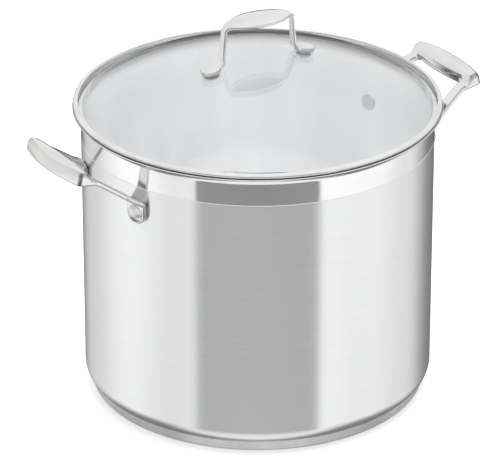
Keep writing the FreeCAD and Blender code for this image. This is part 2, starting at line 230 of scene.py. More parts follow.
class Shader:
    # a material or a world being wired up
    def __init__(self, tree):
        self.tree = tree
        tree.nodes.clear()

    def node(self, kind, settings=None, output=0, **inputs):
        # any node: its type, its settings, then the values or links of its sockets by name
        node = self.tree.nodes.new(kind)
        for key, value in (settings or {}).items():
            setattr(node, key, value)
        for key, value in inputs.items():
            name = key.replace("_", " ")
            socket = node.inputs[int(key[1:])] if key[0] == "i" and key[1:].isdigit() else node.inputs[name]
            setInput(self.tree, socket, value)
        return Wire(self.tree, node.outputs[output])

    def places(self, scale):
        # the piece's own coordinates in metres, stretched
        here = self.node("ShaderNodeTexCoord", output=3)
        return self.node("ShaderNodeMapping", Vector=here, Scale=scale)

    def noise(self, scale, detail=3.0, stretch=(1, 1, 1), roughness=0.5):
        return self.node("ShaderNodeTexNoise", Vector=self.places(stretch), Scale=scale,
                         Detail=detail, Roughness=roughness)

    def mixColour(self, factor, first, second):
        # sockets 0, 6 and 7 of a colour Mix node are its factor and its two colours
        return self.node("ShaderNodeMix", {"data_type": "RGBA"}, output=2,
                         i0=factor, i6=first, i7=second)

    def bump(self, height, strength, distance):
        return self.node("ShaderNodeBump", Strength=strength, Distance=distance, Height=height)


def newMaterial(name):
    material = bpy.data.materials.new(name)
    material.use_nodes = True
    return material, Shader(material.node_tree)


def finishSurface(shader, **inputs):
    # one Principled shader at the end of a material
    body = shader.node("ShaderNodeBsdfPrincipled", **inputs)
    attachOutput(shader, body)


def attachOutput(shader, body):
    output = shader.tree.nodes.new("ShaderNodeOutputMaterial")
    shader.tree.links.new(body.socket, output.inputs["Surface"])


# finishes

def brushedSteel(name, look):
    # fine hoops round the wall: noise squeezed along the height, wide along the hoops
    material, shader = newMaterial(name)
    hoops = shader.noise(look["hoopScale"], 4.0, (0.012, 0.012, 1.0), 0.65)
    broad = shader.noise(9.0, 3.0, (1, 1, 0.35))
    shade = hoops.between(0.30, 0.70)
    colour = shader.mixColour(shade, look["dark"], look["light"])
    rough = look["roughness"] + (hoops - 0.5) * look["roughSpread"] + (broad - 0.5) * 0.05
    height = shader.bump(hoops, look["bump"], 0.00006)
    finishSurface(shader, Base_Color=colour, Metallic=1.0, Roughness=rough, Normal=height,
                  Anisotropic=look["anisotropic"], Anisotropic_Rotation=0.25)
    return material


def polishedSteel(name, look):
    # bright steel with faint wipe marks and a very slight waviness; its sharply curved edges get a painted
    # dark reflection, near-black mixed into the colour
    material, shader = newMaterial(name)
    wipes = shader.noise(420.0, 3.0, look.get("grain", (1, 0.15, 0.3)), 0.6)
    waves = shader.noise(55.0, 2.0)
    clouds = shader.noise(30.0, 3.0)
    colour = shader.mixColour(clouds.between(0.35, 0.65), look["dark"], look["light"])
    # painted dark reflection: Pointiness finds the sharply curved edges, and near-black is mixed into the
    # colour there, by the share that look corner gives, in place of dark surroundings mirrored in them
    corner = shader.node("ShaderNodeNewGeometry", output=7).between(0.508, 0.545)
    colour = shader.mixColour(corner * look["corner"], colour, (0.09, 0.09, 0.093, 1))
    rough = look["roughness"] + wipes.between(0.45, 0.75) * look["wipe"] + clouds * 0.02
    height = shader.bump(waves + wipes * 0.05, look["wave"], 0.0004)
    finishSurface(shader, Base_Color=colour, Metallic=1.0, Roughness=rough, Normal=height)
    return material


def satinSteel(name, look):
    # drawn sheet with a soft sheen in broad streaks up and down
    material, shader = newMaterial(name)
    fine = shader.noise(900.0, 3.0, (0.05, 0.05, 1.0), 0.6)
    blotch = shader.noise(26.0, 2.5, (1, 1, 0.18))
    colour = shader.mixColour(blotch.between(0.35, 0.65), look["dark"], look["light"])
    rough = look["roughness"] + (fine - 0.5) * 0.10 + (blotch - 0.5) * 0.06
    finishSurface(shader, Base_Color=colour, Metallic=look["metallic"], Roughness=rough,
                  Normal=shader.bump(fine, 0.12, 0.00005))
    return material


def clearGlass(name, look):
    # each face lets light straight through and mirrors by its angle: a small share head on,
    # rising with the fifth power of one minus the cosine
    material, shader = newMaterial(name)
    film = shader.noise(14.0, 3.0)
    through = shader.node("ShaderNodeBsdfTransparent", Color=look["tint"])
    mirror = shader.node("ShaderNodeBsdfGlossy", Color=(1, 1, 1, 1),
                         Roughness=look["roughness"] + film * 0.015)
    turned = shader.node("ShaderNodeLayerWeight", output=1, Blend=0.5)
    share = look["mirror"] + turned.maths("POWER", 5.0) * (1 - look["mirror"])
    body = shader.node("ShaderNodeMixShader", i0=share, i1=through, i2=mirror)
    attachOutput(shader, body)
    return material


def siliconeRubber(name, look):
    material, shader = newMaterial(name)
    grain = shader.noise(700.0, 3.0)
    colour = shader.mixColour(grain.between(0.3, 0.7), look["dark"], look["light"])
    finishSurface(shader, Base_Color=colour, Roughness=look["roughness"] + grain * 0.12,
                  Normal=shader.bump(grain, 0.1, 0.0001), Subsurface_Weight=0.15)
    return material


def castAluminium(name, look):
    material, shader = newMaterial(name)
    rings = shader.noise(500.0, 3.0, (1, 1, 0.1))
    colour = shader.mixColour(rings, look["dark"], look["light"])
    finishSurface(shader, Base_Color=colour, Metallic=1.0, Roughness=look["roughness"] + rings * 0.12)
    return material


wallSteel = brushedSteel("brushedWall", dict(
    hoopScale=3600.0, dark=(0.78, 0.786, 0.792, 1), light=(0.825, 0.828, 0.83, 1),
    roughness=0.25, roughSpread=0.03, bump=0.035, anisotropic=0.80))
bandSteel = polishedSteel("polishedBand", dict(
    dark=(0.79, 0.793, 0.798, 1), light=(0.84, 0.84, 0.84, 1),
    roughness=0.07, wipe=0.05, wave=0.05, corner=0.0, grain=(0.05, 0.05, 1)))
# inside of the pot: satin steel, paler and more diffuse than the outside's steel; the extra paleness is
# painted light, standing in for light that the deep inside loses
insideSteelBrightened = satinSteel("satinInsideBrightened", dict(
    dark=(0.88, 0.885, 0.895, 1), light=(0.975, 0.977, 0.98, 1), roughness=0.10, metallic=0.5))
baseSteel = satinSteel("satinBase", dict(
    dark=(0.47, 0.475, 0.48, 1), light=(0.54, 0.542, 0.545, 1), roughness=0.28, metallic=0.35))
# handles: full painted dark reflection on their sharply curved edges (corner 1.0)
handleSteel = polishedSteel("polishedHandle", dict(
    dark=(0.71, 0.71, 0.705, 1), light=(0.77, 0.77, 0.76, 1),
    roughness=0.10, wipe=0.06, wave=0.04, corner=1.0))
# rivets: a weaker painted dark reflection on their sharply curved edges (corner 0.6)
rivetSteel = polishedSteel("softRivet", dict(
    dark=(0.69, 0.69, 0.69, 1), light=(0.75, 0.75, 0.745, 1),
    roughness=0.32, wipe=0.05, wave=0.04, corner=0.6))
rimSteel = polishedSteel("polishedRim", dict(
    dark=(0.72, 0.72, 0.73, 1), light=(0.79, 0.79, 0.79, 1),
    roughness=0.06, wipe=0.05, wave=0.03, corner=0.0, grain=(0.05, 0.05, 1)))
fastenerSteel = satinSteel("satinFastener", dict(
    dark=(0.50, 0.50, 0.51, 1), light=(0.64, 0.64, 0.64, 1), roughness=0.26, metallic=1.0))
glassClear = clearGlass("clearGlass", dict(
    tint=(0.985, 0.99, 0.992, 1), roughness=0.0, mirror=0.09))
silicone = siliconeRubber("paleSilicone", dict(
    dark=(0.50, 0.51, 0.52, 1), light=(0.60, 0.61, 0.62, 1), roughness=0.42))
coreMetal = castAluminium("aluminiumCore", dict(
    dark=(0.66, 0.67, 0.68, 1), light=(0.80, 0.81, 0.82, 1), roughness=0.38))
print("materials ready")


def fit(piece, body, slot, nodes, *materials):
    # dresses a piece, and says what it rides on and which CAD nodes it stands for
    for material in materials:
        piece.data.materials.append(material)
    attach(piece, body)
    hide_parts(*nodes)
    return piece


# the pot

pot = dict(
    radius=130.0 * mm,       # outside of the wall
    sheet=1.0 * mm,
    floor=5.8 * mm,          # underside of the drawn floor
    corner=12.0 * mm,
    lipRadius=5.5 * mm,
    lipTop=222.7 * mm,
    lipEdge=136.0 * mm,      # radius of the lip's outer edge
    insideEnd=4.0 * mm,      # how far under the lip's top the inside's finish ends
    grooveAt=200.0 * mm,     # fine bead that ends the brushing
    grooveWide=0.55 * mm,
    grooveDeep=0.28 * mm,
    capRim=124.0 * mm,       # cap under the base
    capSheet=0.8 * mm,
    capEdge=3.0 * mm,        # rounding under the base
    seamRim=126.0 * mm,      # where the cap's upper edge meets the pot
    seamTop=9.0 * mm,
    capLedge=6.6 * mm,       # top of the cap's inside, under its edge
    around=256,
)


def makePotShell():
    # outside up from the axis, over the lip and down the inside back to the axis
    inner = pot["radius"] - pot["sheet"]
    groove, half = pot["grooveAt"], pot["grooveWide"] / 2
    lipLow = pot["lipTop"] - pot["sheet"]
    outside = roundedOutline([
        (0, pot["floor"]),
        (pot["radius"], pot["floor"], pot["corner"]),
        (pot["radius"], groove - half, 0.1 * mm),
        (pot["radius"] - pot["grooveDeep"], groove, 0.12 * mm),
        (pot["radius"], groove + half, 0.1 * mm),
        (pot["radius"], lipLow, pot["lipRadius"]),
        (pot["lipEdge"], lipLow, pot["sheet"] * 0.49),
        (pot["lipEdge"], pot["lipTop"], pot["sheet"] * 0.49),
        (inner, pot["lipTop"], pot["lipRadius"] + pot["sheet"]),
        (inner, pot["floor"] + pot["sheet"], pot["corner"] - pot["sheet"]),
        (0, pot["floor"] + pot["sheet"]),
    ], steps=10)
    middle = (outside[1:] + outside[:-1]) / 2
    polished = middle[:, 1] > groove + half
    inward = np.arange(len(middle)) > np.argmax(outside[:, 1] > pot["lipTop"] - 1e-7)
    # faces inside the pot get the brightened steel: a satin finish, made paler and half diffuse as painted
    # light in place of the light lost inside the pot
    insideFaces = inward & (middle[:, 0] < inner + 2 * mm) & (middle[:, 1] < pot["lipTop"] - pot["insideEnd"])
    finish = np.where(insideFaces, 2, np.where(polished, 1, 0))
    piece = lathe("potShell", outside, pot["around"], rowMaterial=finish)
    return fit(piece, "pot", "pot_steel", ["pot_shell"], wallSteel, bandSteel, insideSteelBrightened)


def makeBaseCap():
    # cap under the slab, up to the seam on the pot's corner, and back inside it
    rim, sheet = pot["capRim"], pot["capSheet"]
    profile = roundedOutline([
        (0, 0),
        (rim, 0, pot["capEdge"]),
        (pot["seamRim"], pot["seamTop"] - 0.2 * mm, 0.2 * mm),
        (pot["seamRim"] - 0.6 * mm, pot["seamTop"], 0.1 * mm),
        (rim - sheet, pot["capLedge"], 0.8 * mm),
        (rim - sheet, sheet, pot["capEdge"] - sheet),
        (0, sheet),
    ], steps=8)
    return fit(lathe("baseCap", profile, pot["around"]), "pot", "base_steel", ["base_cap"], baseSteel)


makePotShell()
makeBaseCap()
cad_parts["base_core"].data.materials.clear()
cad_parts["base_core"].data.materials.append(coreMetal)
print("pot turned")


# the lid

lid = dict(
    glass=3.0 * mm,
    crown=259.2 * mm,        # height of the dome's top
    domeRadius=262.0 * mm,
    blend=9.0 * mm,          # hollow curve between dome and flat edge
    edge=134.8 * mm,
    edgeTop=226.2 * mm,
    band=0.5 * mm,
    bandGap=0.1 * mm,
    lap=131.8 * mm,
    skirt=128.3 * mm,
    skirtLow=216.0 * mm,
    padX=40.0 * mm,
    gasket=0.7 * mm,
    washer=0.6 * mm,
    gasketHole=3.0 * mm,     # the next ones are radii
    upperGasket=7.4 * mm,
    lowerGasket=5.8 * mm,
    washerHole=1.7 * mm,
    washerRim=5.2 * mm,
    screwRim=3.2 * mm,
    screwShank=1.6 * mm,
    screwSocket=1.2 * mm,
    screwHead=1.5 * mm,      # height of the head, then how deep its socket and how long its shank is
    screwSocketDeep=0.9 * mm,
    screwReach=4.6 * mm,
    boss=3.0 * mm,
    bossOver=0.5 * mm,       # how far a boss stands over the upper gasket
    bossUnder=0.3 * mm,
)
domeMiddle = lid["crown"] - lid["domeRadius"]
padLean = math.asin(lid["padX"] / lid["domeRadius"])


def domeRun(depth):
    # dome from the axis, then the hollow blend down to the flat edge, at a depth under the top face
    blendZ = lid["edgeTop"] + lid["blend"]
    blendR = math.sqrt((lid["domeRadius"] + lid["blend"]) ** 2 - (blendZ - domeMiddle) ** 2)
    meeting = math.degrees(math.atan2(blendZ - domeMiddle, blendR))
    dome = arcPoints((0, domeMiddle), lid["domeRadius"] - depth, 90, meeting, 60)
    blend = arcPoints((blendR, blendZ), lid["blend"] + depth, 180 + meeting, 270, 10)
    return joined(dome, blend)


def makeLidGlass():
    edgeMiddle = (lid["edge"] - lid["glass"] / 2, lid["edgeTop"] - lid["glass"] / 2)
    rim = arcPoints(edgeMiddle, lid["glass"] / 2, 90, -90, 12)
    profile = joined(domeRun(0), rim, domeRun(lid["glass"])[::-1])
    profile[0, 0] = profile[-1, 0] = 0
    piece = lathe("lidGlass", profile, 256)
    return fit(piece, "lid", "lid_glass", ["lid_glass"], glassClear)


def makeLidBand():
    # rolled steel round the glass edge: full round outside, skirt inside the pot
    middleZ = lid["edgeTop"] - lid["glass"] / 2
    inside = lid["glass"] / 2 + lid["bandGap"]
    outside = inside + lid["band"]
    rim = lid["edge"] - lid["glass"] / 2
    profile = roundedOutline([
        (lid["lap"], middleZ + inside, 0.1 * mm),
        (lid["lap"], middleZ + outside, 0.2 * mm),
        (rim + outside, middleZ + outside, outside * 0.995),
        (rim + outside, middleZ - outside, outside * 0.995),
        (lid["skirt"], middleZ - outside, 0.7 * mm),
        (lid["skirt"], lid["skirtLow"], 0.2 * mm),
        (lid["skirt"] - lid["band"], lid["skirtLow"], 0.2 * mm),
        (lid["skirt"] - lid["band"], middleZ - inside, 1.2 * mm),
        (rim + inside, middleZ - inside, inside * 0.995),
        (rim + inside, middleZ + inside, inside * 0.995),
    ], closed=True, steps=10, support=0.2 * mm)
    piece = lathe("lidBand", profile, 256, closed=True)
    return fit(piece, "lid", "band_steel", ["lid_band"], rimSteel)


def lidStation(side):
    # carries a shape built Z up on the dome's top to a pad's place, square to the glass
    cosine, sine = math.cos(side * padLean), math.sin(side * padLean)

    def place(grid):
        x, y, z = grid[..., 0], grid[..., 1], grid[..., 2] + lid["domeRadius"]
        return np.stack([x * cosine + z * sine, y, z * cosine - x * sine + domeMiddle], -1)
    return place


def makeLidFastening(side, name):
    # ring gaskets above and below the glass, washer and pan-head screw below
    under = -lid["glass"] - lid["gasket"]
    rings = dict(
        lidGasketUpper=("lid_gasket_upper_", silicone, lid["gasketHole"], lid["upperGasket"],
                        0.0, lid["gasket"]),
        lidGasketLower=("lid_gasket_lower_", silicone, lid["gasketHole"], lid["lowerGasket"],
                        under, -lid["glass"]),
        lidWasher=("lid_washer_", fastenerSteel, lid["washerHole"], lid["washerRim"],
                   under - lid["washer"], under),
    )
    for piece, (node, finish, hole, rim, low, high) in rings.items():
        soft = 0.3 * mm if finish is silicone else 0.15 * mm
        slot = "gasket_silicone" if finish is silicone else "fastener_steel"
        profile = roundedOutline([(hole, low), (rim, low, soft), (rim, high, soft), (hole, high)],
                                 closed=True, steps=5, support=0.1 * mm)
        ring = lathe(piece + name.capitalize(), profile, 64, closed=True, place=lidStation(side))
        fit(ring, "lid", slot, [node + name], finish)
    top = under - lid["washer"]
    low = top - lid["screwHead"]
    end = top + lid["screwReach"]
    shank, rim, socket = lid["screwShank"], lid["screwRim"], lid["screwSocket"]
    floor = low + lid["screwSocketDeep"]
    head = roundedOutline([
        (0, end), (shank, end, 0.2 * mm), (shank, top, 0.05 * mm),
        (rim, top, 0.15 * mm), (rim, low, 0.7 * mm),
        (socket, low, 0.1 * mm), (socket, floor, 0.1 * mm), (0, floor),
    ], steps=5, support=0.1 * mm)
    screw = lathe("lidScrew" + name.capitalize(), head, 48, place=lidStation(side))
    fit(screw, "lid", "fastener_steel", ["lid_screw_" + name], fastenerSteel)


makeLidGlass()
makeLidBand()
for side, name in ((-1, "left"), (1, "right")):
    makeLidFastening(side, name)
print("lid turned")


# the lid handle

strap = dict(
    thick=2.2 * mm,
    padHalf=7.8 * mm,
    neckHalf=3.8 * mm,       # half width where a leg leaves its pad
    legHalf=3.1 * mm,
    barHalf=14.0 * mm,
    crown=2.5 * mm,          # how far the bar's long edges roll down
    edge=0.7 * mm,           # rounding of the strap's edges
    footX=31.2 * mm,
    topX=28.6 * mm,
    barTop=292.1 * mm,
    barEndX=24.5 * mm,
    barArch=2.4 * mm,
    footBend=5.0 * mm,
    topBend=4.5 * mm,
)


class StrapLine:
    # a line walked in the XZ plane: straight runs and tangent bends, as places and headings
    def __init__(self, x, z, heading):
        self.rows = [np.array([[x, z, heading]])]

    def run(self, length, steps):
        x, z, heading = self.rows[-1][-1]
        along = np.linspace(0, length, steps + 1)[1:]
        self.rows.append(np.stack([x + along * math.cos(heading), z + along * math.sin(heading),
                                   0 * along + heading], 1))

    def bend(self, radius, heading, steps):
        x, z, start = self.rows[-1][-1]
        way = math.copysign(1, heading - start)
        turn = np.linspace(start, heading, steps + 1)[1:]
        self.rows.append(np.stack([x + way * radius * (np.sin(turn) - math.sin(start)),
                                   z - way * radius * (np.cos(turn) - math.cos(start)), turn], 1))


def strapLine():
    # from the outer end of the left pad over the bar to the outer end of the right pad
    reach = lid["domeRadius"] + lid["gasket"] + strap["thick"] / 2
    padX = -reach * math.sin(padLean)
    padZ = domeMiddle + reach * math.cos(padLean)
    footZ = padZ + (-strap["footX"] - padX) * math.tan(padLean)
    barRadius = (strap["barEndX"] ** 2 + strap["barArch"] ** 2) / (2 * strap["barArch"])
    barHeading = math.asin(strap["barEndX"] / barRadius)
    spare = strap["topX"] - strap["barEndX"]
    topZ = strap["barTop"] - strap["thick"] / 2 - strap["barArch"] - spare * math.tan(barHeading)
    legHeading = math.atan2(topZ - footZ, strap["footX"] - strap["topX"])
    footCut = strap["footBend"] * math.tan((legHeading - padLean) / 2)
    topCut = strap["topBend"] * math.tan((legHeading - barHeading) / 2)
    pad = strap["padHalf"]
    walk = StrapLine(padX - pad * math.cos(padLean), padZ - pad * math.sin(padLean), padLean)
    walk.run(math.hypot(-strap["footX"] - padX, footZ - padZ) - footCut + pad, 48)
    walk.bend(strap["footBend"], legHeading, 14)
    walk.run(math.hypot(strap["topX"] - strap["footX"], topZ - footZ) - footCut - topCut, 24)
    walk.bend(strap["topBend"], barHeading, 16)
    walk.run(spare / math.cos(barHeading) - topCut, 2)
    walk.bend(barRadius, 0, 28)
    half = np.concatenate(walk.rows)
    other = half[:-1][::-1] * np.array([-1, 1, -1])
    return np.concatenate([half, other])


def roundedBar(halfWidth, thick, edge, crown, across=14, bend=5):
    # closed outline of a flat bar with rounded edges; both faces sink towards the sides with the
    # square of the way out, by crown at the very edge
    radius = np.minimum(edge, halfWidth * 0.98)[:, None]
    radius = np.minimum(radius, thick * 0.49)
    wide = halfWidth[:, None]
    turn = np.radians(np.linspace(0, 90, bend + 1))
    flat = np.linspace(1, -1, across + 2)[1:-1] * np.ones_like(wide)

    def corner(start, signY, signZ):
        angle = turn + math.radians(start)
        return (signY * (wide - radius) + radius * np.cos(angle),
                signZ * (thick / 2 - radius) + radius * np.sin(angle))
    firstY, firstZ = corner(0, 1, 1)
    secondY, secondZ = corner(90, -1, 1)
    thirdY, thirdZ = corner(180, -1, -1)
    fourthY, fourthZ = corner(270, 1, -1)
    topY = flat * (wide - radius)
    y = np.concatenate([firstY, topY, secondY, thirdY, -topY, fourthY], 1)
    z = np.concatenate([firstZ, 0 * topY + thick / 2, secondZ, thirdZ, 0 * topY - thick / 2, fourthZ], 1)
    return y, z - crown[:, None] * (y / np.maximum(wide, 1e-6)) ** 2


def makeLidHandle():
    # the strap's section carried along its line; half width is a circle round each pad,
    # then neck, leg and a leaf that swells with 1 minus (x / end) squared
    line = strapLine()
    x, z, heading = line.T
    gap = np.hypot(np.diff(x), np.diff(z))
    along = np.concatenate([[0], np.cumsum(gap)])
    fromEnd = np.minimum(along, along[-1] - along)
    pad = strap["padHalf"]
    circle = np.sqrt(np.clip(pad ** 2 - (fromEnd - pad) ** 2, 0, None))
    narrowing = 1 - smoothStep(fromEnd, 2 * pad, 2 * pad + 12 * mm)
    neck = strap["legHalf"] + (strap["neckHalf"] - strap["legHalf"]) * narrowing
    leaf = np.clip(1 - (x / strap["topX"]) ** 2, 0, 1) * (fromEnd > 2.6 * pad)
    swell = smoothStep(leaf, 0, 1) * 0.35 + leaf * 0.65
    halfWidth = np.where(fromEnd < pad, circle, np.maximum(circle, neck))
    halfWidth = halfWidth + (strap["barHalf"] - strap["legHalf"]) * swell
    crown = strap["crown"] * swell ** 1.3
    y, out = roundedBar(halfWidth, strap["thick"], strap["edge"], crown)
    sine, cosine = np.sin(heading)[:, None], np.cos(heading)[:, None]
    grid = np.stack([x[:, None] - out * sine, y, z[:, None] + out * cosine], 2)
    piece = surface("lidHandle", grid, sharp=50)
    return fit(piece, "lid", "handle_steel", ["lid_handle"], handleSteel)


def makeBosses():
    # the two short posts under the pads, which pass through the glass
    for side, name in ((-1, "left"), (1, "right")):
        top = lid["gasket"] + lid["bossOver"]
        low = -lid["glass"] - lid["bossUnder"]
        radius = lid["boss"]
        profile = roundedOutline([(0, top), (radius, top, 0.1 * mm), (radius, low, 0.2 * mm), (0, low)])
        post = lathe("lidBoss" + name.capitalize(), profile, 40, place=lidStation(side))
        fit(post, "lid", "handle_steel", [], fastenerSteel)


makeLidHandle()
makeBosses()
print("lid handle bent")


# the side handles

grip = dict(
    rootX=128.0 * mm,        # the arm's top face meets this place on its slope
    rootZ=192.5 * mm,
    slope=math.radians(35.4),
    kneeX=156.5 * mm,        # where the arm levels off into the grip
    kneeBend=12.0 * mm,
    level=math.radians(11.0),
    thick=3.8 * mm,
    armHalf=5.0 * mm,
    armAt=38.0 * mm,         # an arm's middle at the wall, sideways
    splay=6.0 * mm,
    lugHalf=8.0 * mm,
    lugThick=3.6 * mm,
    rivetZ=180.5 * mm,
    rivetTurn=math.radians(17.0),
    bend=5.6 * mm,           # bend of the top face between lug and arm
    inner=40.5 * mm,         # along the strap from its root to the corners of the finger gap
    bulge=1.8 * mm,          # how far the gap's far side bows towards the pot
    endCorner=50.7 * mm,
    outer=57.5 * mm,
    half=38.7 * mm,
    crest=7.5 * mm,          # height of the pillow over the arm's top face
    crestAt=48.1 * mm,
    crestWide=10.4 * mm,
    crestPower=2.4,
    crestDrop=1.8 * mm,      # how much lower the crest is at the grip's ends
    armSpan=(21 * mm, 31 * mm),    # sideways, where the finger gap's side gives way to an arm
    edge=1.3 * mm,
    gripEdge=3.2 * mm,
)


def sheetBend():
    # where the sloping strap starts to turn down on to the wall, and the lug's heights
    wallX = math.sqrt(pot["radius"] ** 2 - grip["armAt"] ** 2)
    meet = (wallX - grip["rootX"]) / math.cos(grip["slope"])
    meetZ = grip["rootZ"] + (wallX - grip["rootX"]) * math.tan(grip["slope"])
    turn = math.pi / 2 - grip["slope"]
    cut = grip["bend"] * math.tan(turn / 2)
    return dict(wallX=wallX, start=meet + cut, arc=grip["bend"] * turn, topOfLug=meetZ - cut)


def sheetPlace(s, t, n):
    # from the flat strap (s along it, t sideways, n above its top face) to the handle on +X:
    # up the wall, round the root bend, up the slope, round the knee and out level
    fold = sheetBend()
    slope, level = grip["slope"], grip["level"]
    lean = slope - level
    kneeAt = (grip["kneeX"] - grip["rootX"]) / math.cos(slope) - grip["kneeBend"] * math.tan(lean / 2)
    past = np.clip(fold["start"] - s, 0, fold["arc"])
    down = np.clip(fold["start"] - s - fold["arc"], 0, None)
    over = np.clip(s - kneeAt, 0, grip["kneeBend"] * lean)
    beyond = np.clip(s - kneeAt - grip["kneeBend"] * lean, 0, None)
    straight = np.clip(s, fold["start"], kneeAt)
    heading = slope + past / grip["bend"] - over / grip["kneeBend"]
    upper = np.minimum(heading, slope)
    lower = np.maximum(heading, slope)
    x = grip["rootX"] + straight * math.cos(slope)
    z = grip["rootZ"] + straight * math.sin(slope)
    x = x - grip["bend"] * (np.sin(lower) - math.sin(slope))
    z = z + grip["bend"] * (np.cos(lower) - math.cos(slope)) - down
    x = x + grip["kneeBend"] * (math.sin(slope) - np.sin(upper)) + beyond * math.cos(level)
    z = z + grip["kneeBend"] * (np.cos(upper) - math.cos(slope)) + beyond * math.sin(level)
    hold = 1 - smoothStep(s, fold["start"] - fold["arc"], fold["start"] + 7 * mm)
    wallHere = np.sqrt(pot["radius"] ** 2 - t ** 2)
    x = x + (wallHere - fold["wallX"]) * hold - n * np.sin(heading)
    z = z + n * np.cos(heading)
    y = t - n * hold * t / pot["radius"]
    return np.stack([x, y, z], -1)


def armBoundaries():
    # both edges of one arm from the lug's round end up to the grip, at matching places
    fold = sheetBend()
    lugMiddle = fold["start"] - fold["arc"] - (fold["topOfLug"] - grip["rivetZ"])
    ease = np.linspace(0, 1, 22) ** 2
    s = np.concatenate([lugMiddle - grip["lugHalf"] * (1 - ease),
                        np.linspace(lugMiddle, grip["inner"] - 4.2 * mm, 70)[1:]])
    roundEnd = np.sqrt(np.clip(grip["lugHalf"] ** 2 - (s - lugMiddle) ** 2, 0, None))
    taper = grip["armHalf"] + (grip["lugHalf"] - grip["armHalf"]) * (1 - smoothStep(s, -5 * mm, 9 * mm))
    half = np.where(s < lugMiddle, roundEnd, taper)
    middle = grip["armAt"] - grip["splay"] * np.clip(s, 0, None) / (grip["inner"] + 3 * mm)
    flare = grip["half"] - (middle + grip["armHalf"])
    outer = middle + half + flare * smoothStep(s, grip["inner"] - 11 * mm, grip["inner"] + 2 * mm)
    return np.stack([s, middle - half], 1), np.stack([s, outer], 1)


def bowThrough(end, middle, count=60):
    # half of a shallow arc that is level at t = 0, from its end to its middle
    rise = middle - end[0]
    radius = (end[1] ** 2 + rise ** 2) / (2 * abs(rise))
    t = np.linspace(end[1], 0, count)
    drop = radius - np.sqrt(radius ** 2 - t ** 2)
    return np.stack([middle - math.copysign(1, rise) * drop, t], 1)


def handleBoundaries():
    # half of the handle's plan: its edge round the finger gap and its outer edge,
    # with as many points on one as on the other
    inner, outer = armBoundaries()
    gapCorner = (grip["inner"], inner[-1][1] - 0.3 * mm)
    farSide = bowThrough(gapCorner, grip["inner"] - grip["bulge"])
    innerTurn = roundedOutline([tuple(inner[-1]), (*gapCorner, 2.6 * mm), tuple(farSide[8])],
                               steps=10, support=0.2 * mm)
    endHigh = (grip["endCorner"], grip["half"])
    rim = bowThrough(endHigh, grip["outer"])
    outerTurn = roundedOutline([tuple(outer[-1]), (*endHigh, 2.6 * mm), tuple(rim[10])],
                               steps=12, support=0.2 * mm)
    innerAll = joined(inner, evenly(innerTurn, 33)[1:], evenly(farSide[8:], 60)[1:])
    outerAll = joined(outer, evenly(outerTurn, 33)[1:], evenly(rim[10:], 60)[1:])
    return innerAll, outerAll


def pillow(s, t):
    # the grip's top over the strap: crest times 1 minus a power of the distance from its line,
    # lower towards the ends; it rises at once from the finger gap and slowly from the arms
    away = np.clip(np.abs(s - grip["crestAt"]) / grip["crestWide"], 0, 1)
    height = grip["crest"] * (1 - away ** grip["crestPower"]) - grip["crestDrop"] * (t / grip["half"]) ** 2
    byArm = smoothStep(np.abs(t), *grip["armSpan"])
    gapSide = grip["inner"] - grip["bulge"] * (1 - np.clip(np.abs(t) / grip["armAt"], 0, 1) ** 2)
    share = smoothStep(s, gapSide - (1.5 + 3.5 * byArm) * mm, gapSide + (0.3 + 4.0 * byArm) * mm)
    return np.clip(height, 0, None) * share


def handleSection(width, gripShare, count=20, bend=6):
    # closed outline across the strap: how far across, how much of it belongs to the top,
    # and how far each point lies inside the top or the bottom
    share, wide = gripShare[:, None], width[:, None]
    turn = np.linspace(0, math.pi / 2, bend)
    soft = np.minimum(grip["edge"], wide * 0.49)
    outSoft = np.minimum(grip["edge"] + (grip["gripEdge"] - grip["edge"]) * share, wide * 0.45)
    inSoft = np.minimum(grip["edge"] * (1 + share), wide * 0.45)
    flat = np.linspace(0, 1, count)[1:-1]
    still = 0 * wide
    runs = [
        (inSoft * (1 - np.cos(turn)), 1, inSoft * (1 - np.sin(turn))),
        (inSoft + (wide - inSoft - outSoft) * flat, 1, still + 0 * flat),
        (wide - outSoft * (1 - np.sin(turn)), 1, outSoft * (1 - np.cos(turn))),
        (wide - soft * (1 - np.cos(turn)), 0, soft * (1 - np.sin(turn))),
        (wide - soft - (wide - 2 * soft) * flat, 0, still + 0 * flat),
        (soft * (1 - np.sin(turn)), 0, soft * (1 - np.cos(turn))),
    ]
    across = np.concatenate([run[0] + still for run in runs], 1)
    inside = np.concatenate([run[2] + still for run in runs], 1)
    onTop = np.concatenate([np.full(run[0].shape[-1], run[1]) for run in runs])
    return across, onTop, inside


def handleGrid():
    # half of the plan and its mirror image; each row of points is one closed section
    innerEdge, outerEdge = handleBoundaries()
    mirror = np.array([1, -1])
    inner = np.concatenate([innerEdge, (innerEdge * mirror)[:-1][::-1]])
    outer = np.concatenate([outerEdge, (outerEdge * mirror)[:-1][::-1]])
    width = np.linalg.norm(outer - inner, axis=1)
    towards = (outer - inner) / np.maximum(width, 1e-9)[:, None]
    gripShare = smoothStep(outer[:, 0], grip["inner"] - 4 * mm, grip["inner"] + 4 * mm)
    across, onTop, inside = handleSection(width, gripShare)
    s = inner[:, :1] + towards[:, :1] * across
    t = inner[:, 1:] + towards[:, 1:] * across
    thick = grip["thick"] - (grip["thick"] - grip["lugThick"]) * (1 - smoothStep(s, -6 * mm, 4 * mm))
    height = np.where(onTop > 0, pillow(s, t) - inside, inside - thick)
    return sheetPlace(s, t, height)


def makeSideHandles():
    grid = handleGrid()
    half = np.array([-1, -1, 1])
    for name, spin in (("Right", 1), ("Left", half)):
        piece = surface("sideHandle" + name, grid * spin, sharp=50)
        fit(piece, "pot", "handle_steel", ["side_handle_" + name.lower()], handleSteel)


rivet = dict(head=6.8 * mm, height=3.6 * mm, shank=2.5 * mm, tail=6.0 * mm, tailHigh=1.5 * mm)


